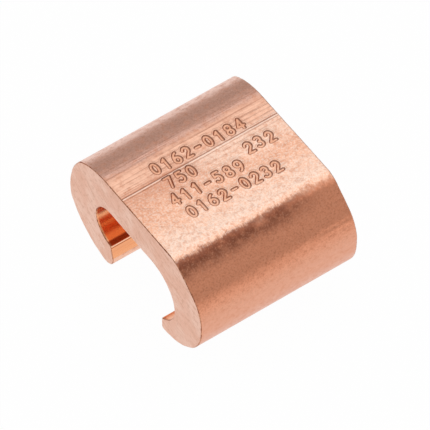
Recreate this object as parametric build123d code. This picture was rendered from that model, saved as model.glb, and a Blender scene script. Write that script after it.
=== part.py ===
from build123d import *
from math import atan2, radians, sqrt, tan
import os

# A C-shaped compression tap for two wires. It is one piece of soft copper, sawn from a drawn bar.
# The run wire, which passes by uncut, lies in the large groove, and the branch wire, or tap, lies
# in the small one. Both go in through the mouth at the bottom, and a crimping tool closes the C.
# Lengths are in millimetres and angles in degrees. X goes across the section, from the tap groove
# to the run groove, Y along the bar, and Z up, from the surface that the lobes stand on to the web.

# The bar
length = 19.0
web_thickness = 4.5

# The grooves, both tangent to the underside of the web, and the metal left below the run groove
run_groove_radius = 3.95
run_groove_x = 2.85
run_lip_thickness = 1.3
tap_groove_radius = 2.75
tap_groove_x = -4.0

# The mouth between the two lips
run_hook_x = 4.55
run_hook_radius = 0.4
tap_lip_x = -3.5
tap_lip_lean = 12.0
tap_lip_radius = 1.45
tap_lip_inner_radius = 0.2

# The outside of the run lobe, from its foot up its upright side to its shoulder and the edge of the web
run_foot_x = 4.8
run_lobe_radius = 6.75
run_shoulder_drop = 3.85
web_run_edge_x = 7.2

# The outside of the tap lobe, from its foot up to its shoulder and the edge of the web
tap_foot_x = -3.75
tap_lobe_radius = 8.3
tap_lobe_angle = 67.0
tap_side_radius = 9.4
tap_shoulder_x = -9.6
tap_shoulder_drop = 1.6
web_tap_edge_x = -4.9

# Rounded lines along the bar, and the broken edge round each sawn end
web_edge_radius = 3.0
run_shoulder_radius = 5.0
tap_shoulder_radius = 2.0
tap_flank_radius = 2.0
end_break = 0.1
largest_bend = 0.95    # of the bend that would take up all of the upright run side

# Where the mouth is cut, each lobe's arc first runs on past its foot, and the cut starts lower
lobe_overrun = 12.0
mouth_overcut = 1.0

# Places that follow from the sizes above
web_underside_z = run_lip_thickness + 2 * run_groove_radius
height = web_underside_z + web_thickness
run_groove_z = web_underside_z - run_groove_radius
tap_groove_z = web_underside_z - tap_groove_radius
run_side_x = run_foot_x + run_lobe_radius
run_shoulder_z = height - run_shoulder_drop
tap_shoulder_z = height - tap_shoulder_drop


def tap_lip_face_x(z):
    """Where the flat face of the tap lip, which leans back from the mouth, stands at a height."""
    return tap_lip_x - z * tan(radians(tap_lip_lean))


def corner(shape, x, z):
    """The corner of a flat section that lies nearest to a point."""
    return shape.vertices().sort_by_distance((x, z))[0]


def run_shoulder_bend():
    """The run shoulder's radius, no larger than the upright side below it has room for."""
    turn = atan2(run_side_x - web_run_edge_x, run_shoulder_drop)
    room = (run_shoulder_z - run_lobe_radius) / tan(turn / 2)
    return min(run_shoulder_radius, largest_bend * room)


def bar_section():
    """The outside of the bar as one closed shape, before the chamber for the wires is opened."""
    run_centre = (run_foot_x, run_lobe_radius)
    tap_centre = (tap_foot_x, tap_lobe_radius)
    run_lobe = CenterArc(run_centre, run_lobe_radius, -90 - lobe_overrun, 90 + lobe_overrun)
    run_side = Line(run_lobe @ 1, (run_side_x, run_shoulder_z))
    run_slope = Line(run_side @ 1, (web_run_edge_x, height))
    web = Line(run_slope @ 1, (web_tap_edge_x, height))
    tap_slope = TangentArc(web @ 1, (tap_shoulder_x, tap_shoulder_z), tangent=web % 1)
    tap_lobe = CenterArc(tap_centre, tap_lobe_radius, -90 - tap_lobe_angle, tap_lobe_angle + lobe_overrun)
    tap_side = RadiusArc(tap_slope @ 1, tap_lobe @ 0, -tap_side_radius)
    closing_line = Line(tap_lobe @ 1, run_lobe @ 0)
    flank = tap_lobe @ 0

    bar = make_face([run_lobe, run_side, run_slope, web, tap_slope, tap_side, tap_lobe, closing_line])
    bar = fillet(corner(bar, web_run_edge_x, height), web_edge_radius)
    bar = fillet(corner(bar, run_side_x, run_shoulder_z), run_shoulder_bend())
    bar = fillet(corner(bar, tap_shoulder_x, tap_shoulder_z), tap_shoulder_radius)
    return fillet(corner(bar, flank.X, flank.Y), tap_flank_radius)


def wire_chamber():
    """Both grooves, the gap that joins them under the web, and the mouth that runs out below."""
    run_groove = Pos(run_groove_x, run_groove_z) * Circle(run_groove_radius)
    tap_groove = Pos(tap_groove_x, tap_groove_z) * Circle(tap_groove_radius)
    gap_and_mouth = Polyline(
        (tap_groove_x, web_underside_z),
        (run_groove_x, web_underside_z),
        (run_groove_x, run_groove_z),
        (run_hook_x, run_groove_z),
        (run_hook_x, -mouth_overcut),
        (tap_lip_face_x(-mouth_overcut), -mouth_overcut),
        (tap_lip_face_x(tap_groove_z), tap_groove_z),
        (tap_groove_x, tap_groove_z),
        close=True,
    )
    return run_groove + tap_groove + make_face(gap_and_mouth)


def connector_section():
    """The C: the bar's outline, less the chamber, with round noses on the two lips."""
    hook_top_z = run_groove_z - sqrt(run_groove_radius**2 - (run_hook_x - run_groove_x) ** 2)
    lip_top_z = tap_groove_z - tap_groove_radius

    section = bar_section() - wire_chamber()
    section = fillet(corner(section, run_hook_x, hook_top_z), run_hook_radius)
    section = fillet(corner(section, run_hook_x, 0), run_hook_radius)
    section = fillet(corner(section, tap_lip_x, 0), tap_lip_radius)
    return fillet(corner(section, tap_lip_face_x(lip_top_z), lip_top_z), tap_lip_inner_radius)


def connector():
    """The section run along the bar, with both sawn ends broken, standing centred on the origin."""
    bar = extrude(Plane.XZ * connector_section(), amount=length / 2, both=True)
    ends = bar.faces().sort_by(Axis.Y)
    body = chamfer(ends[0].edges() + ends[-1].edges(), end_break)
    box = body.bounding_box()
    return Pos(-box.center().X, 0, -box.min.Z) * body


os.makedirs("parts", exist_ok=True)
export_step(connector(), "parts/connector_body.step")
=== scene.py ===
import math
import bpy
import numpy as np
from mathutils import Matrix, Vector


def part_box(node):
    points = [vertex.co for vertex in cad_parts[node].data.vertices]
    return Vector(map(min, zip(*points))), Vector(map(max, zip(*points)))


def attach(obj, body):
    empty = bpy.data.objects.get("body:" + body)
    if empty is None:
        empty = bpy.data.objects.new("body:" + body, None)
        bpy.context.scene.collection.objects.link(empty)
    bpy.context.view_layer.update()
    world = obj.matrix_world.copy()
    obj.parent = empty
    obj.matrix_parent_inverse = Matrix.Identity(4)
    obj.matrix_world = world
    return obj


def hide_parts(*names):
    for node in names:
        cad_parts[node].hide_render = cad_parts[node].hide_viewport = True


# A compression tap of solid copper, seen from above its near end.
# The shape is worked out in millimetres, as in the CAD, and turned to metres where meshes are made.

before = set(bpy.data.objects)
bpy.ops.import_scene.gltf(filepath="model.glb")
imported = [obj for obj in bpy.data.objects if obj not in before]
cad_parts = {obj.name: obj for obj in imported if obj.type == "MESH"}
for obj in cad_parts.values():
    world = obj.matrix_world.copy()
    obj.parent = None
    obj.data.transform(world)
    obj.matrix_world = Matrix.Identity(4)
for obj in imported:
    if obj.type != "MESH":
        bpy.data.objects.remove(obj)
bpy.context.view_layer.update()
low, high = (np.array(corner) * 1000 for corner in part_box("connector_body"))
mm = 0.001


def linear(hexColour):  # an sRGB hex value as the linear colour that Blender's sockets take
    parts = [int(hexColour[i:i + 2], 16) / 255 for i in (1, 3, 5)]
    return tuple(p / 12.92 if p <= 0.04045 else ((p + 0.055) / 1.055) ** 2.4 for p in parts) + (1.0,)


def addNode(tree, kind, inputs=None, **settings):  # inputs are values, or sockets to link from
    node = tree.nodes.new(kind)
    for name, value in settings.items():
        setattr(node, name, value)
    for socket, value in (inputs or {}).items():
        if isinstance(value, bpy.types.NodeSocket):
            tree.links.new(value, node.inputs[socket])
        else:
            node.inputs[socket].default_value = value
    return node


def smoothStep(start, end, value):
    t = np.clip((value - start) / (end - start), 0, 1)
    return t * t * (3 - 2 * t)


def patchNoise(u, v, sizeU, sizeV, seed):  # soft random patches of a given size, from -1 to 1
    grid = np.random.default_rng(seed).uniform(-1, 1, (512, 512))
    a, b = u / sizeU + 100, v / sizeV + 100
    i, j = np.floor(a).astype(int), np.floor(b).astype(int)
    s, t = smoothStep(0, 1, a - i), smoothStep(0, 1, b - j)
    corner = [[grid[(i + di) % 512, (j + dj) % 512] for dj in (0, 1)] for di in (0, 1)]
    near = corner[0][0] * (1 - s) + corner[1][0] * s
    far = corner[0][1] * (1 - s) + corner[1][1] * s
    return near * (1 - t) + far * t


# Camera, at the photograph's viewing angle

view = {
    "azimuth": 54.845,
    "elevation": 53.059,
    "distance": 605.3,          # mm
    "target": (0.339, 0, 6.764),
    "pixelsPerMm": 10,          # at the target, in a frame 430 pixels wide
    "frameWidth": 430,
}


def makeCamera():
    turn, tilt = math.radians(view["azimuth"]), math.radians(view["elevation"])
    back = Vector((math.sin(turn) * math.cos(tilt), -math.cos(turn) * math.cos(tilt), math.sin(tilt)))
    right = Vector((math.cos(turn), math.sin(turn), 0))
    up = back.cross(right)
    lens = bpy.data.cameras.new("camera")
    lens.sensor_width = 36
    lens.lens = lens.sensor_width * view["pixelsPerMm"] * view["distance"] / view["frameWidth"]
    lens.clip_start = 0.01
    camera = bpy.data.objects.new("camera", lens)
    bpy.context.collection.objects.link(camera)
    place = (Vector(view["target"]) + back * view["distance"]) * mm
    camera.matrix_world = Matrix.Translation(place) @ Matrix((right, up, back)).transposed().to_4x4()
    bpy.context.scene.camera = camera


makeCamera()
print("camera placed")


# Section of the bar, with the sizes of the CAD source in mm

section = {
    "webThickness": 4.5,
    "runGrooveRadius": 3.95, "runGrooveX": 2.85, "runLipThickness": 1.3,
    "tapGrooveRadius": 2.75, "tapGrooveX": -4.0,
    "runHookX": 4.55, "runHookRadius": 0.4,
    "tapLipX": -3.5, "tapLipLean": 12.0, "tapLipRadius": 1.45, "tapLipInnerRadius": 0.2,
    "runFootX": 4.8, "runLobeRadius": 6.75, "runShoulderDrop": 3.85,
    "webRunEdgeX": 7.2, "webTapEdgeX": -4.9,
    "tapFootX": -3.75, "tapLobeRadius": 8.3, "tapLobeAngle": 67.0, "tapSideRadius": 9.4,
    "tapShoulderX": -9.6, "tapShoulderDrop": 1.6,
    "webEdgeRadius": 3.0, "runShoulderRadius": 5.0, "tapShoulderRadius": 2.0, "tapFlankRadius": 2.0,
    "sampling": 0.005,          # how closely the curves are followed before they are thinned out
}


def arc(centre, start, end, clockwise=False):  # points from start to end round a centre
    cx, cz = centre
    radius = math.dist(centre, start)
    first = math.atan2(start[1] - cz, start[0] - cx)
    turn = math.atan2(end[1] - cz, end[0] - cx) - first
    turn = -((-turn) % math.tau) if clockwise else turn % math.tau
    angles = first + turn * np.linspace(0, 1, int(abs(turn) * radius / section["sampling"]) + 2)
    return np.stack([cx + radius * np.cos(angles), cz + radius * np.sin(angles)], 1)


def line(start, end):
    return np.linspace(start, end, int(math.dist(start, end) / section["sampling"]) + 2)


def centreBelow(start, end):  # of the arc that leaves start level and reaches end
    across, drop = end[0] - start[0], start[1] - end[1]
    return start[0], start[1] - (across ** 2 + drop ** 2) / (2 * drop)


def centreOf(start, end, radius):  # of an arc of a known radius, to the right of its chord
    a, b = np.array(start), np.array(end)
    chord = b - a
    half = np.linalg.norm(chord) / 2
    side = np.array([chord[1], -chord[0]]) / (2 * half)
    return tuple((a + b) / 2 + side * math.sqrt(radius ** 2 - half ** 2))


def movedIn(points, depth):  # the metal lies to the left of the outline's direction
    along = np.gradient(points, axis=0)
    along /= np.linalg.norm(along, axis=1)[:, None]
    return points + depth * np.stack([-along[:, 1], along[:, 0]], 1)


def roundCorner(before, after, radius):  # the arc that touches two curves, and both curves cut back to it
    reach = int(4 * radius / section["sampling"])
    skip = max(0, len(before) - reach)
    a, b = movedIn(before[skip:], radius), movedIn(after[:reach], radius)
    gaps = np.linalg.norm(a[:, None] - b[None], axis=2)
    i, j = np.unravel_index(gaps.argmin(), gaps.shape)
    centre = tuple((a[i] + b[j]) / 2)
    return before[:skip + i + 1], arc(centre, before[skip + i], after[j]), after[j:]


def lipTop(tapGroove):  # where the leaning face of the tap lip meets the groove
    lean = math.tan(math.radians(section["tapLipLean"]))
    dx = tapGroove[0] - section["tapLipX"]
    a = 1 + lean ** 2
    b = 2 * (lean * dx - tapGroove[1])
    c = dx ** 2 + tapGroove[1] ** 2 - section["tapGrooveRadius"] ** 2
    z = (-b - math.sqrt(b * b - 4 * a * c)) / (2 * a)
    return section["tapLipX"] - lean * z, z


def outline():  # the section's curves by name, anticlockwise from the web's run edge
    s = section
    underside = s["runLipThickness"] + 2 * s["runGrooveRadius"]
    top = underside + s["webThickness"]
    runEdge, tapEdge = (s["webRunEdgeX"], top), (s["webTapEdgeX"], top)
    tapCentre, runCentre = (s["tapFootX"], s["tapLobeRadius"]), (s["runFootX"], s["runLobeRadius"])
    lobeEnd = (runCentre[0] + s["runLobeRadius"], runCentre[1])
    tapShoulder = (s["tapShoulderX"], top - s["tapShoulderDrop"])
    runShoulder = (lobeEnd[0], top - s["runShoulderDrop"])
    flankAngle = math.radians(-90 - s["tapLobeAngle"])
    tapFlank = (tapCentre[0] + s["tapLobeRadius"] * math.cos(flankAngle),
                tapCentre[1] + s["tapLobeRadius"] * math.sin(flankAngle))
    tapGroove = (s["tapGrooveX"], underside - s["tapGrooveRadius"])
    runGroove = (s["runGrooveX"], underside - s["runGrooveRadius"])
    lipFoot, lipInner = (s["tapLipX"], 0), lipTop(tapGroove)
    hookReach = s["runHookX"] - runGroove[0]
    hookTop = (s["runHookX"], runGroove[1] - math.sqrt(s["runGrooveRadius"] ** 2 - hookReach ** 2))
    hookFoot = (s["runHookX"], 0)

    web = line(runEdge, tapEdge)
    tapSlope = arc(centreBelow(tapEdge, tapShoulder), tapEdge, tapShoulder)
    tapSide = arc(centreOf(tapFlank, tapShoulder, s["tapSideRadius"]), tapShoulder, tapFlank)
    tapLobe = arc(tapCentre, tapFlank, lipFoot)
    lipFace = line(lipFoot, lipInner)
    tapWall = arc(tapGroove, lipInner, (tapGroove[0], underside), clockwise=True)
    webBelow = line((tapGroove[0], underside), (runGroove[0], underside))
    runWall = arc(runGroove, (runGroove[0], underside), hookTop, clockwise=True)
    hookFace = line(hookTop, hookFoot)
    runLobe = arc(runCentre, hookFoot, lobeEnd)
    runSide = line(lobeEnd, runShoulder)
    runSlope = line(runShoulder, runEdge)

    tapSlope, tapKink, tapSide = roundCorner(tapSlope, tapSide, s["tapShoulderRadius"])
    tapSide, tapBend, tapLobe = roundCorner(tapSide, tapLobe, s["tapFlankRadius"])
    tapLobe, lipNose, lipFace = roundCorner(tapLobe, lipFace, s["tapLipRadius"])
    lipFace, lipCorner, tapWall = roundCorner(lipFace, tapWall, s["tapLipInnerRadius"])
    runWall, hookTip, hookFace = roundCorner(runWall, hookFace, s["runHookRadius"])
    hookFace, hookToe, runLobe = roundCorner(hookFace, runLobe, s["runHookRadius"])
    runSide, runKink, runSlope = roundCorner(runSide, runSlope, s["runShoulderRadius"])
    runSlope, webEdge, web = roundCorner(runSlope, web, s["webEdgeRadius"])
    curves = {
        "webEdge": webEdge, "web": web, "tapSlope": tapSlope, "tapKink": tapKink, "tapSide": tapSide,
        "tapBend": tapBend, "tapLobe": tapLobe, "lipNose": lipNose, "lipFace": lipFace,
        "lipCorner": lipCorner, "tapWall": tapWall, "webBelow": webBelow, "runWall": runWall,
        "hookTip": hookTip, "hookFace": hookFace, "hookToe": hookToe, "runLobe": runLobe,
        "runSide": runSide, "runKink": runKink, "runSlope": runSlope,
    }
    # the CAD part is centred across, and its web tops out at the height of its box
    every = np.concatenate(list(curves.values()))
    shift = (low[0] + high[0] - every[:, 0].min() - every[:, 0].max()) / 2, high[2] - every[:, 1].max()
    return {name: points + shift for name, points in curves.items()}


# Body: the section run along the bar, on a grid fine enough on the web to carry the stamped numbers

body = {
    "rowStep": 0.063,           # mm between rows along the bar on the top and both shoulders
    "rowsPerCoarseRow": 4,      # elsewhere only every fourth row is kept
    "stampStep": 0.06,          # mm across the bar where the numbers stand
    "webStep": 0.10,
    "shoulderStep": 0.15,
    "plainStep": 0.35,
    "plainTurn": 7.0,           # degrees between points round the bends
    "longCurve": 12,            # mm, beyond which a curve may bend by more than half a turn
    "stampFrom": -4.55, "stampTo": 3.85,
    "endBreak": 0.075,          # mm, the ragged edge round each sawn end
    "endBreakSpread": 0.04,
    "skin": 0.05,               # mm that the surface lies below the CAD's, so that burrs stay inside it
}
fineCurves = {"webEdge": "webStep", "web": "webStep", "tapSlope": "shoulderStep", "tapKink": "shoulderStep",
              "runKink": "shoulderStep", "runSlope": "shoulderStep"}
grooveCurves = ("lipFace", "lipCorner", "tapWall", "webBelow", "runWall", "hookTip", "hookFace")
finishSlot = {"drawn": 0, "groove": 1, "sawn": 2, "burr": 3}

stamps = {
    "capHeight": 1.3,           # mm between the middles of the strokes
    "narrowing": 0.86,
    "pitch": 1.26,              # mm along the bar from one figure to the next
    "lead": 0.4,                # cap heights from a figure's place to its middle
    "strokeWidth": 0.40,
    "wall": 0.10,
    "depth": 0.14,
    "burr": 0.03,
    "burrWidth": 0.13,
    "bulge": 0.018,             # metal pushed up round each figure
    "bulgeWidth": 0.5,
    "tilt": 1.6,                # degrees that the die sat askew
    "blow": (0.8, 1.15),        # share of the depth, from the lightest figure to the heaviest
    "twist": 2.0,               # degrees that a figure may be turned
    "wander": 0.05,             # mm that a figure may stray across its row
    # rows of plain numbers, wire thicknesses in mils and hundredths of a mm, and the bar's length in mils:
    # the text, its row's middle in x, its start in y
    "rows": (("0162-0184", -3.55, -5.05), ("750", -1.3, -4.8), ("232", -0.4, 4.1),
             ("411-589", 0.75, -5.6), ("0162-0232", 2.85, -5.1)),
}
bowPoints = 16
figureCentre = (0.32, 0.5)      # in cap heights


def bow(cx, cy, rx, ry, start, end):  # part of an oval, in cap heights, angles in degrees
    return [(cx + rx * math.cos(math.radians(a)), cy + ry * math.sin(math.radians(a)))
            for a in np.linspace(start, end, bowPoints)]


digits = {  # strokes of each figure, one cap height tall and read from left to right
    "0": [bow(0.32, 0.5, 0.29, 0.5, 90, 450)],
    "1": [[(0.12, 0.78), (0.36, 1.0), (0.36, 0.0)]],
    "2": [bow(0.31, 0.71, 0.28, 0.29, 170, -38) + [(0.03, 0.0), (0.62, 0.0)]],
    "3": [bow(0.29, 0.75, 0.25, 0.25, 150, -85), bow(0.29, 0.27, 0.29, 0.27, 85, -150)],
    "4": [[(0.46, 0.0), (0.46, 1.0), (0.0, 0.30), (0.64, 0.30)]],
    "5": [[(0.56, 1.0), (0.12, 1.0), (0.07, 0.56)] + bow(0.29, 0.32, 0.30, 0.32, 125, -145)],
    "6": [bow(0.32, 0.29, 0.29, 0.29, 0, 360), bow(0.58, 0.29, 0.55, 0.73, 180, 104)],
    "7": [[(0.02, 1.0), (0.60, 1.0), (0.22, 0.0)]],
    "8": [bow(0.32, 0.76, 0.24, 0.24, 0, 360), bow(0.32, 0.26, 0.29, 0.26, 0, 360)],
    "9": [bow(0.31, 0.71, 0.29, 0.29, 0, 360), bow(0.05, 0.71, 0.55, 0.73, 0, -76)],
    "-": [[(0.10, 0.45), (0.54, 0.45)]],
}


def strokeDistance(x, y):  # mm from each point of the web to the middle of the nearest stroke, and its depth
    farAway = 9.0               # mm, where no figure is close
    near = np.full(x.shape, farAway)
    depth = np.ones(x.shape)
    rng = np.random.default_rng(11)
    size, slant = stamps["capHeight"], math.tan(math.radians(stamps["tilt"]))
    reach = 0.6                 # mm before a figure in which its edge still matters
    for text, rowX, rowY in stamps["rows"]:
        for place, figure in enumerate(text):
            strike = rng.uniform(*stamps["blow"])
            turn = math.radians(rng.uniform(-stamps["twist"], stamps["twist"]))
            startY = rowY + place * stamps["pitch"]
            middleX = rowX + (startY - rowY) * slant + rng.uniform(-stamps["wander"], stamps["wander"])
            close = (np.abs(x - middleX) < size) & (y > startY - reach) & (y < startY + size)
            px, py = x[close], y[close]
            found = np.full(px.shape, farAway)
            for stroke in digits[figure]:
                pts = (np.array(stroke) - figureCentre) * (size * stamps["narrowing"], size)
                turned = pts @ np.array([[math.cos(turn), math.sin(turn)], [-math.sin(turn), math.cos(turn)]])
                sy, sx = startY + stamps["lead"] * size + turned[:, 0], middleX - turned[:, 1]
                for k in range(len(pts) - 1):
                    dx, dy = sx[k + 1] - sx[k], sy[k + 1] - sy[k]
                    t = ((px - sx[k]) * dx + (py - sy[k]) * dy) / (dx * dx + dy * dy)
                    t = np.clip(t, 0, 1)
                    found = np.minimum(found, np.hypot(px - sx[k] - t * dx, py - sy[k] - t * dy))
            better = found < near[close]
            near[close] = np.minimum(near[close], found)
            depth[close] = np.where(better, strike, depth[close])
    return near, depth


def stampedHeight(x, y):  # mm above the web, and how much of a wall and of a floor each point is
    distance, strike = strokeDistance(x, y)
    half = stamps["strokeWidth"] / 2
    floor = 1 - smoothStep(half - stamps["wall"], half, distance)
    wall = np.exp(-((distance - half + stamps["wall"] / 3) / (0.5 * stamps["wall"])) ** 2)
    burr = np.exp(-((distance - half - stamps["burrWidth"] / 2) / (0.5 * stamps["burrWidth"])) ** 2)
    bulge = stamps["bulge"] * np.exp(-((distance - half) / stamps["bulgeWidth"]) ** 2)
    height = (stamps["burr"] * burr + bulge) * (1 - floor) - stamps["depth"] * strike * floor
    return height, wall, floor


surface = {
    "seamX": -2.27,
    # ridges and grooves beside the seam: offset across the bar, half width and height in mm
    "seam": ((-0.18, 0.06, 0.018), (-0.05, 0.06, -0.03), (0.10, 0.07, 0.02), (0.23, 0.06, -0.02)),
    "seamWaver": (0.8, 0.35),   # share of the seam's height that is steady, and that comes and goes
    # patches of noise: share, size across and along the bar in mm, seed
    "waverPatches": ((1.0, 9.0, 1.8, 3),),
    "linePatches": ((1.0, 0.16, 9.0, 4), (0.7, 0.33, 16.0, 5)),
    "dentPatches": ((1.0, 0.42, 0.50, 6), (0.7, 0.2, 0.24, 7), (0.8, 1.3, 1.6, 9)),
    "chatterPatches": ((1.0, 0.7, 0.16, 8),),
    "nickPatches": ((0.6, 0.3, 1, 21), (0.4, 1.1, 1, 22)),
    "drawLine": 0.010,          # mm, along the bar
    "drawLineFrom": (-8.5, -6.0), "drawLineFade": (-2.2, 0.5),      # where in x they start, and wear off
    "drawLineWorn": 0.8,        # share that is worn off
    "dent": 0.008,              # mm, all over
    "chatter": 0.03,            # mm, short marks across the web's run edge
    "chatterX": 7.1, "chatterReach": 0.75,
    # scratches: start and end in x and y, depth in mm
    "scratches": (
        (10.62, 5.2, 10.62, 9.4, 0.03), (10.95, 6.0, 10.97, 9.4, 0.03), (9.2, -8.6, 9.5, -6.9, 0.02),
        (-0.6, -8.8, 0.6, -7.1, 0.02), (1.9, -8.9, 3.0, -7.6, 0.02), (4.6, -8.2, 4.9, -6.1, 0.02),
        (-6.1, -3.0, -6.0, 1.6, 0.02), (-5.4, -6.6, -5.35, -2.4, 0.025), (5.2, 1.4, 6.6, 1.1, 0.02),
        (8.6, 2.2, 9.9, 2.6, 0.02), (-7.9, 4.2, -7.6, 8.8, 0.02), (8.2, -3.4, 9.6, -3.0, 0.018),
    ),
    "scratchWidth": 0.07,
    "scratchTip": 0.02,         # share of a scratch's length at which its ends start
}


def patches(u, v, kinds):  # several sizes of soft random patches together
    return sum(share * patchNoise(u, v, sizeU, sizeV, seed) for share, sizeU, sizeV, seed in kinds)


def scratched(x, y):  # mm cut away by the odd scratch
    cut = np.zeros(x.shape)
    for x0, y0, x1, y1, depth in surface["scratches"]:
        dx, dy = x1 - x0, y1 - y0
        t = np.clip(((x - x0) * dx + (y - y0) * dy) / (dx * dx + dy * dy), 0, 1)
        away = np.hypot(x - x0 - t * dx, y - y0 - t * dy)
        tip = surface["scratchTip"]
        cut = np.maximum(cut, depth * np.sin(math.pi * np.clip(t, tip, 1 - tip)) ** 0.5
                         * np.exp(-(away / surface["scratchWidth"]) ** 2))
    return cut


def skinHeight(x, y, across):  # mm that the skin stands above its own level; across is along the section
    stamped, wall, floor = stampedHeight(x, y)
    seam = np.zeros(x.shape)
    for offset, width, height in surface["seam"]:
        seam += height * np.exp(-((x - surface["seamX"] - offset) / width) ** 2)
    steady, waver = surface["seamWaver"]
    seam *= steady + waver * patches(x, y, surface["waverPatches"])
    worn = surface["drawLineWorn"] * smoothStep(*surface["drawLineFade"], x)
    lines = patches(across, y, surface["linePatches"])
    lines *= surface["drawLine"] * (1 - worn) * smoothStep(*surface["drawLineFrom"], x)
    dents = patches(across, y, surface["dentPatches"])
    nearEdge = np.exp(-((x - surface["chatterX"]) / surface["chatterReach"]) ** 2)
    marks = patches(across, y, surface["chatterPatches"]) * nearEdge
    clear = seam + lines + surface["dent"] * dents + surface["chatter"] * marks - scratched(x, y)
    return stamped + (1 - floor) * clear, wall, floor


def thinned(points, step, turn):  # keeps both ends and evenly spaced points between
    lengths = np.concatenate([[0], np.cumsum(np.linalg.norm(np.diff(points, axis=0), axis=1))])
    ends = points[1] - points[0], points[-1] - points[-2]
    bend = abs(math.degrees(math.atan2(ends[0][0] * ends[1][1] - ends[0][1] * ends[1][0], ends[0] @ ends[1])))
    if lengths[-1] > body["longCurve"] and bend > 90:  # it bends the long way round
        bend = 360 - bend
    count = max(2, math.ceil(lengths[-1] / step), math.ceil(bend / turn)) + 1
    places = np.linspace(0, lengths[-1], count)
    return np.stack([np.interp(places, lengths, points[:, k]) for k in (0, 1)], 1)


def makeColumns(curves):  # the lines that run along the bar: their place in the section, kind and finish
    columns = []
    for name, points in curves.items():
        if name == "web":
            inStamps = (points[:, 0] < body["stampTo"]) & (points[:, 0] > body["stampFrom"])
            first, last = np.flatnonzero(inStamps)[[0, -1]]
            spans = [(points[:first + 1], body["webStep"]), (points[first:last + 1], body["stampStep"]),
                     (points[last:], body["webStep"])]
        else:
            spans = [(points, body[fineCurves.get(name, "plainStep")])]
        for span, step in spans:
            kept = thinned(span, step, body["plainTurn"])[:-1]
            columns += [(x, z, name in fineCurves, name in grooveCurves) for x, z in kept]
    return columns


def makeBody():
    columns = makeColumns(outline())
    place = np.array([c[:2] for c in columns])
    along = np.roll(place, -1, 0) - np.roll(place, 1, 0)
    along /= np.linalg.norm(along, axis=1)[:, None]
    outward = np.stack([along[:, 1], -along[:, 0]], 1)
    travel = np.concatenate([[0], np.cumsum(np.linalg.norm(np.diff(place, axis=0), axis=1))])
    across = np.where(travel > travel[-1] / 2, travel - travel[-1], travel)  # runs on over the web's run edge
    count = len(columns)

    nicks = patches(travel, travel * 0, surface["nickPatches"])
    endBreak = body["endBreak"] + body["endBreakSpread"] * nicks
    groups = round((high[1] - low[1]) / body["rowStep"] / body["rowsPerCoarseRow"])
    rows = np.linspace(-1, 1, groups * body["rowsPerCoarseRow"] + 1)
    coarse = np.arange(0, len(rows), body["rowsPerCoarseRow"])
    verts, wallShade, floorShade, starts, kept = [], [], [], [], []
    for k, (x, z, fine, _) in enumerate(columns):
        use = np.arange(len(rows)) if fine else coarse
        y = rows[use] * (high[1] - endBreak[k])
        xs = np.full(y.shape, x)
        if fine:
            height, wall, floor = skinHeight(xs, y, np.full(y.shape, across[k]))
        else:
            height, wall, floor = np.zeros(y.shape), np.zeros(y.shape), np.zeros(y.shape)
        rise = np.minimum(height - body["skin"], 0)
        starts.append(len(verts))
        kept.append(len(use))
        verts += list(zip(x + outward[k, 0] * rise, y, z + outward[k, 1] * rise))
        wallShade += list(wall)
        floorShade += list(floor)

    faces, finish = [], []
    step = body["rowsPerCoarseRow"]
    for k in range(count):
        n = (k + 1) % count
        a, b, fineA, fineB = starts[k], starts[n], columns[k][2], columns[n][2]
        if fineA == fineB:
            for r in range(kept[k] - 1):
                faces.append((a + r, b + r, b + r + 1, a + r + 1))
        else:
            for r in range(len(coarse) - 1):
                if fineA:
                    faces.append([b + r, b + r + 1] + [a + r * step + q for q in range(step, -1, -1)])
                else:
                    faces.append([a + r] + [b + r * step + q for q in range(step + 1)] + [a + r + 1])
        inside = columns[k][3]
        finish += [finishSlot["groove" if inside else "drawn"]] * (len(faces) - len(finish))

    for side, turnOver in ((-1, False), (1, True)):  # the sawn ends, inside a ring that breaks their edge
        ring = len(verts)
        for k in range(count):
            inset = body["skin"] + endBreak[k]
            x, z = place[k] - outward[k] * inset
            verts.append((x, side * high[1], z))
        wallShade += [0] * count
        floorShade += [0] * count
        for k in range(count):
            n = (k + 1) % count
            last = 0 if side < 0 else 1
            a, b = starts[k] + last * (kept[k] - 1), starts[n] + last * (kept[n] - 1)
            quad = [ring + k, ring + n, b, a]
            faces.append(quad[::-1] if turnOver else quad)
            finish.append(finishSlot["burr"])
        cap = [ring + k for k in range(count)]
        faces.append(cap if turnOver else cap[::-1])
        finish.append(finishSlot["sawn"])

    mesh = bpy.data.meshes.new("connector")
    mesh.from_pydata([tuple(c * mm for c in v) for v in verts], [], faces)
    mesh.polygons.foreach_set("material_index", finish)
    mesh.polygons.foreach_set("use_smooth", [slot < finishSlot["sawn"] for slot in finish])
    # where the stamped figures' walls and floors are, for the painted shade on them
    for name, values in (("stampWallShade", wallShade), ("stampFloorShade", floorShade)):
        layer = mesh.attributes.new(name, "FLOAT", "POINT")
        layer.data.foreach_set("value", np.array(values, dtype=np.float32))
    mesh.validate()
    piece = bpy.data.objects.new("connector", mesh)
    bpy.context.collection.objects.link(piece)
    return piece


# Finishes. The metal's colours are as they look under this light, with light and shade painted into them in
# places, and the patterns that break them up have real sizes

noise = {"Scale": 1.0, "Detail": 2.0, "Roughness": 0.6}


def startFinish(name):  # an empty material, and the surface's place in mm
    material = bpy.data.materials.new(name)
    material.use_nodes = True
    tree = material.node_tree
    tree.nodes.clear()
    place = addNode(tree, "ShaderNodeTexCoord").outputs["Object"]
    place = addNode(tree, "ShaderNodeVectorMath", {0: place, 1: (1 / mm,) * 3}, operation="MULTIPLY")
    return material, tree, place.outputs[0]


def patternsIn(tree, place, sizes):  # noise for each name, its size in mm along x, y and z
    patterns = {}
    for name, size in sizes.items():
        scale = tuple(1 / s for s in size)
        scaled = addNode(tree, "ShaderNodeVectorMath", {0: place, 1: scale}, operation="MULTIPLY").outputs[0]
        patterns[name] = addNode(tree, "ShaderNodeTexNoise", {"Vector": scaled, **noise}).outputs["Fac"]
    return patterns


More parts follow.
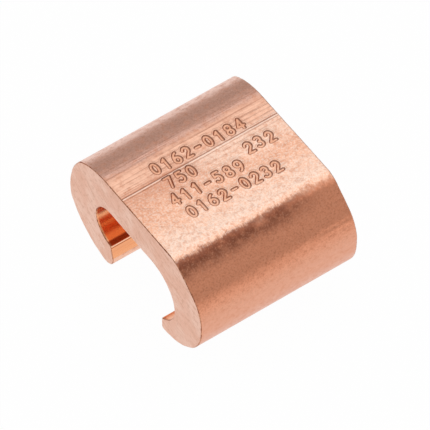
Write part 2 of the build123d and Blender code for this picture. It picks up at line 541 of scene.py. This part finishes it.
def shifted(tree, socket, patterns, shares):  # a place in mm, moved by patterns so that borders are ragged
    middle = sum(shares.values()) / 2
    moved = addNode(tree, "ShaderNodeMath", {0: socket, 1: middle}, operation="SUBTRACT").outputs[0]
    for name, share in shares.items():
        moved = addNode(tree, "ShaderNodeMath", {0: patterns[name], 1: share, 2: moved},
                        operation="MULTIPLY_ADD").outputs[0]
    return moved


def layered(tree, base, layers, sources):  # each layer covers the last where all its ranges are met
    colour = linear(base)
    for top, strength, ranges in layers:
        cover = strength
        for source, start, full in ranges:
            met = addNode(tree, "ShaderNodeMapRange", {0: sources[source], 1: start, 2: full},
                          interpolation_type="SMOOTHSTEP").outputs[0]
            cover = addNode(tree, "ShaderNodeMath", {0: met, 1: cover}, operation="MULTIPLY").outputs[0]
        mix = addNode(tree, "ShaderNodeMix", {0: cover, 6: colour, 7: linear(top)}, data_type="RGBA")
        colour = mix.outputs[2]
    return colour


def metalFinish(tree, colour, roughness, patterns, relief):  # relief gives each pattern's height in mm
    height = 0.0
    for name, depth in relief.items():
        height = addNode(tree, "ShaderNodeMath", {0: patterns[name], 1: depth, 2: height},
                         operation="MULTIPLY_ADD").outputs[0]
    bump = addNode(tree, "ShaderNodeBump", {"Height": height, "Strength": 1.0, "Distance": mm})
    shader = addNode(tree, "ShaderNodeBsdfPrincipled", {"Base Color": colour, "Metallic": 1.0,
                                                        "Roughness": roughness, "Normal": bump.outputs[0]})
    addNode(tree, "ShaderNodeOutputMaterial", {"Surface": shader.outputs[0]})


def drawnCopper():  # bare copper drawn through dies: satin, with painted light and shade: bright on the web, browner on both shoulders
    finish = {
        "roughness": (0.30, 0.42), "mottling": (0.35, 0.65),
        "patterns": {       # mm; real draw lines are 0.03 mm apart and are drawn coarse enough to show
            "grain": (0.17, 0.20, 0.17), "fleck": (0.25, 0.30, 0.25), "mottle": (0.5, 0.6, 0.5),
            "drift": (1.6, 1.9, 1.6), "patch": (4.0, 6.5, 4.0),
            "drawLine": (0.14, 9.0, 0.14), "band": (0.45, 18.0, 0.45), "chatter": (0.7, 0.10, 0.7),
        },
        "relief": {"grain": 0.008, "fleck": 0.002, "mottle": 0.010, "drawLine": 0.005},
        "webHighlight": {"drift": 3.0, "patch": 4.0, "mottle": 2.5, "band": 2.0},
        "tapEdge": {"drift": 1.2, "band": 1.6, "mottle": 0.8},
        "runEdge": {"chatter": 0.55, "drift": 0.7, "mottle": 0.7},
        "base": "#E2A285",              # the side of the run lobe
        "layers": (                     # colour, strength, and where it starts and is full
            # painted light and shade, face by face: a pale painted reflection on the tap shoulder, a darker
            # orange on the run slope, and the web's middle tone
            ("#F6CFC0", 1.0, (("tapEdge", -4.2, -5.8), ("z", 9.0, 11.5))),
            ("#E89A77", 1.0, (("runEdge", 6.7, 7.7), ("z", 8.2, 10.6))),
            ("#E2A88D", 1.0, (("tapEdge", -5.8, -4.2), ("runEdge", 7.6, 6.7))),
            # brighter: a strip on the tap side and the far half beside the seam, and a painted highlight that
            # grows towards the run edge
            ("#F9C6AB", 0.9, (("tapEdge", -5.6, -4.2), ("x", -2.3, -3.0))),
            ("#FFDDC8", 0.95, (("y", -4.5, 3.0), ("x", -2.9, -2.3), ("x", 2.0, 0.0))),
            ("#FCC6A8", 1.0, (("webHighlight", -3.5, 4.0), ("runEdge", 7.6, 6.7))),
            ("#FFDEC9", 1.0, (("webHighlight", 2.0, 6.5), ("runEdge", 7.1, 5.9))),
            # painted shade: browner bands just past the run edge and on the tap shoulder
            ("#814835", 0.9, (("runEdge", 6.7, 7.3), ("runEdge", 9.2, 7.5), ("y", 9.0, 2.0),
                              ("patch", 0.24, 0.42))),
            ("#CF9881", 0.8, (("tapEdge", -4.6, -6.2), ("x", -9.1, -7.9), ("z", 11.0, 12.0))),
            # draw lines, mottling, flecks and grain
            ("#A4674F", 0.5, (("drawLine", 0.53, 0.66), ("x", 0.0, -2.5), ("x", -7.5, -5.0))),
            ("#D98F6C", 0.32, (("mottle", 0.48, 0.70),)),
            ("#B87052", 0.12, (("fleck", 0.56, 0.76),)),
            ("#E08F68", 0.30, (("grain", 0.50, 0.66), ("x", -4.0, -1.0), ("x", 7.6, 6.6))),
            ("#FFF0E6", 0.38, (("grain", 0.50, 0.36), ("x", -5.0, 2.0), ("x", 7.4, 6.6))),
            ("#9A5C42", 0.28, (("grain", 0.50, 0.68), ("runEdge", 7.0, 8.0), ("z", 7.0, 10.0))),
            ("#F6B898", 0.22, (("grain", 0.50, 0.34), ("runEdge", 7.0, 8.0))),
            ("#A4705C", 0.26, (("grain", 0.50, 0.66), ("tapEdge", -4.2, -5.4))),
            ("#EDBFAA", 0.24, (("grain", 0.50, 0.34), ("tapEdge", -4.2, -5.4))),
            # the seam's two lines: painted shade in its groove and a painted highlight on its ridge; and the
            # stamped figures
            ("#A4634A", 0.6, (("x", -2.42, -2.34), ("x", -2.20, -2.28))),
            ("#FFE4D4", 0.6, (("x", -2.24, -2.18), ("x", -2.06, -2.12))),
            # painted shade on the stamped figures: a darker orange on their floors and a dark brown on their
            # walls
            ("#EDA982", 0.5, (("stampFloorShade", 0.0, 1.0),)),
            ("#8E3D1A", 0.8, (("stampWallShade", 0.2, 0.95),)),
        ),
    }
    material, tree, place = startFinish("drawnCopper")
    at = addNode(tree, "ShaderNodeSeparateXYZ", {0: place}).outputs
    patterns = patternsIn(tree, place, finish["patterns"])
    sources = dict(patterns, x=at["X"], y=at["Y"], z=at["Z"])
    for name in ("webHighlight", "tapEdge", "runEdge"):
        sources[name] = shifted(tree, at["X"], patterns, finish[name])
    for name in ("stampFloorShade", "stampWallShade"):
        sources[name] = addNode(tree, "ShaderNodeAttribute", attribute_name=name).outputs["Fac"]
    colour = layered(tree, finish["base"], finish["layers"], sources)
    (least, most), (start, end) = finish["roughness"], finish["mottling"]
    rough = addNode(tree, "ShaderNodeMapRange", {0: patterns["mottle"], 1: start, 2: end, 3: least, 4: most})
    metalFinish(tree, colour, rough.outputs[0], patterns, finish["relief"])
    return material


def grooveCopper():  # copper inside the C, sheltered from wear: smoother, and orange from its own light
    finish = {
        "roughness": 0.25,
        "patterns": {
            "drawLine": (0.16, 12.0, 0.16), "band": (0.6, 20.0, 0.6), "mottle": (0.4, 0.7, 0.4),
        },
        "relief": {"drawLine": 0.003, "mottle": 0.005},
        "base": "#F4A878",
        "layers": (
            ("#D98658", 0.25, (("drawLine", 0.50, 0.64),)),
            ("#FFC49C", 0.15, (("band", 0.50, 0.66),)),
            # painted shade and a painted highlight: a dark, a bright and a brown line along the top of the
            # tap lip's face, for the light and shade of its small rounded corner
            ("#7E2C12", 0.9, (("z", 3.60, 3.68), ("z", 3.84, 3.76), ("x", -3.0, -3.6))),
            ("#FFD9BC", 0.8, (("z", 3.42, 3.48), ("z", 3.62, 3.56), ("x", -3.0, -3.6))),
            ("#9A4526", 0.7, (("z", 3.26, 3.32), ("z", 3.44, 3.38), ("x", -3.0, -3.6))),
        ),
    }
    material, tree, place = startFinish("grooveCopper")
    at = addNode(tree, "ShaderNodeSeparateXYZ", {0: place}).outputs
    patterns = patternsIn(tree, place, finish["patterns"])
    colour = layered(tree, finish["base"], finish["layers"], dict(patterns, x=at["X"], z=at["Z"]))
    metalFinish(tree, colour, finish["roughness"], patterns, finish["relief"])
    return material


def sawnCopper():  # cut with a fine round saw: matt, pale, with curved marks across the whole end
    finish = {
        "roughness": 0.5,
        "sawCentre": (13.6, 0, 35.0),   # mm
        "sawMark": 0.13,                # mm; the real ones are finer and wouldn't show
        "sawRun": 2.2,                  # mm that a mark keeps its strength
        "patterns": {"mottle": (0.5, 0.5, 0.5), "patch": (3.0, 3.0, 3.0), "fleck": (0.22, 0.22, 0.22)},
        "relief": {"saw": 0.008, "mottle": 0.008},
        "base": "#EBBBA4",
        "layers": (
            ("#F2CBB8", 0.8, (("patch", 0.42, 0.62),)),
            ("#D9A78C", 0.45, (("saw", 0.50, 0.64),)),
            ("#D6A184", 0.5, (("mottle", 0.50, 0.66),)),
            ("#F8DACA", 0.3, (("saw", 0.48, 0.36),)),
            ("#A9705A", 0.4, (("fleck", 0.64, 0.72),)),
        ),
    }
    material, tree, place = startFinish("sawnCopper")
    patterns = patternsIn(tree, place, finish["patterns"])
    away = addNode(tree, "ShaderNodeVectorMath", {0: place, 1: finish["sawCentre"]}, operation="DISTANCE")
    away = addNode(tree, "ShaderNodeMath", {0: away.outputs["Value"], 1: finish["sawMark"]},
                   operation="DIVIDE").outputs[0]
    along = addNode(tree, "ShaderNodeSeparateXYZ", {0: place}).outputs["X"]
    along = addNode(tree, "ShaderNodeMath", {0: along, 1: finish["sawRun"]}, operation="DIVIDE").outputs[0]
    arcs = addNode(tree, "ShaderNodeCombineXYZ", {0: away, 1: along}).outputs[0]
    saw = addNode(tree, "ShaderNodeTexNoise", {"Vector": arcs, "Scale": 1.0, "Detail": 2.0})
    patterns["saw"] = saw.outputs["Fac"]
    colour = layered(tree, finish["base"], finish["layers"], patterns)
    metalFinish(tree, colour, finish["roughness"], patterns, finish["relief"])
    return material


def edgeBurr():  # the rim that the saw leaves round each end: torn copper, painted darker for the thin line of shade along each edge, darker still in places
    finish = {
        "roughness": 0.42,
        "patterns": {"nick": (0.3, 0.3, 0.3), "drift": (1.5, 1.5, 1.5)},
        "relief": {"nick": 0.02},
        "base": "#C78B6B",
        "layers": (
            ("#8C452B", 0.85, (("nick", 0.40, 0.58), ("drift", 0.36, 0.54))),
            ("#F0C0A4", 0.5, (("nick", 0.40, 0.30),)),
        ),
    }
    material, tree, place = startFinish("edgeBurr")
    patterns = patternsIn(tree, place, finish["patterns"])
    colour = layered(tree, finish["base"], finish["layers"], patterns)
    metalFinish(tree, colour, finish["roughness"], patterns, finish["relief"])
    return material


connector = makeBody()
print("connector meshed:", len(connector.data.vertices), "points,", len(connector.data.polygons), "faces")
for finish in (drawnCopper(), grooveCopper(), sawnCopper(), edgeBurr()):
    connector.data.materials.append(finish)
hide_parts("connector_body")
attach(connector, "root")


# Studio: a pale floor that turns up far behind, a soft dome of light from overhead

studio = {
    "floorRings": (0.0, 0.3, 0.8, 1.2), "rimRadius": 1.7, "rimHeight": 0.2,     # metres
    "rimRings": 8, "spokes": 64,
    "paper": "#F4F4F4",
    "glow": 0.98,               # how much of the floor's white is its own, seen and mirrored
    "overhead": 1.12, "around": 0.56,
    "overheadFrom": (-0.10, 0.25, 0.96),
    "overheadEdge": (48, 26),   # degrees from its middle at which it starts and is full
}


def makeFloor():
    flat, rim, spokes = studio["floorRings"][-1], studio["rimRadius"], studio["spokes"]
    radii = list(studio["floorRings"]) + list(np.linspace(flat, rim, studio["rimRings"] + 1)[1:])
    verts, faces = [(0, 0, 0)], []
    for radius in radii[1:]:
        t = max(0.0, (radius - flat) / (rim - flat))
        for k in range(spokes):
            turn = math.tau * k / spokes
            verts.append((radius * math.cos(turn), radius * math.sin(turn), studio["rimHeight"] * t * t))
    for k in range(spokes):
        faces.append((0, 1 + k, 1 + (k + 1) % spokes))
        for ring in range(len(radii) - 2):
            a = 1 + ring * spokes
            faces.append((a + k, a + spokes + k, a + spokes + (k + 1) % spokes, a + (k + 1) % spokes))
    mesh = bpy.data.meshes.new("floor")
    mesh.from_pydata(verts, [], faces)
    mesh.polygons.foreach_set("use_smooth", [True] * len(faces))
    material = bpy.data.materials.new("palePaper")
    material.use_nodes = True
    tree = material.node_tree
    tree.nodes.clear()
    ray = addNode(tree, "ShaderNodeLightPath").outputs
    seen = addNode(tree, "ShaderNodeMath", {0: ray["Is Camera Ray"], 1: ray["Is Glossy Ray"]},
                   operation="MAXIMUM")
    seen = addNode(tree, "ShaderNodeMath", {0: seen.outputs[0], 1: ray["Is Transmission Ray"]},
                   operation="MAXIMUM")
    share = addNode(tree, "ShaderNodeMath", {0: seen.outputs[0], 1: studio["glow"]}, operation="MULTIPLY")
    paper = addNode(tree, "ShaderNodeBsdfDiffuse", {"Color": linear(studio["paper"])})
    white = addNode(tree, "ShaderNodeEmission", {"Color": (1, 1, 1, 1), "Strength": 1.0})
    mixed = addNode(tree, "ShaderNodeMixShader",
                    {0: share.outputs[0], 1: paper.outputs[0], 2: white.outputs[0]})
    addNode(tree, "ShaderNodeOutputMaterial", {"Surface": mixed.outputs[0]})
    mesh.materials.append(material)
    floor = bpy.data.objects.new("floor", mesh)
    bpy.context.collection.objects.link(floor)


def makeLight():
    world = bpy.data.worlds.new("studio")
    bpy.context.scene.world = world
    world.use_nodes = True
    tree = world.node_tree
    tree.nodes.clear()
    direction = addNode(tree, "ShaderNodeTexCoord").outputs["Generated"]
    key = Vector(studio["overheadFrom"]).normalized()
    facing = addNode(tree, "ShaderNodeVectorMath", {0: direction, 1: key}, operation="DOT_PRODUCT")
    start, full = (math.cos(math.radians(angle)) for angle in studio["overheadEdge"])
    level = addNode(tree, "ShaderNodeMapRange", {0: facing.outputs["Value"], 1: start, 2: full,
                                                 3: studio["around"], 4: studio["overhead"]},
                    interpolation_type="SMOOTHSTEP")
    sky = addNode(tree, "ShaderNodeBackground", {"Color": (1, 1, 1, 1), "Strength": level.outputs[0]})
    addNode(tree, "ShaderNodeOutputWorld", {"Surface": sky.outputs[0]})


makeFloor()
makeLight()
bpy.context.scene.view_settings.view_transform = "Standard"
print("studio lit")
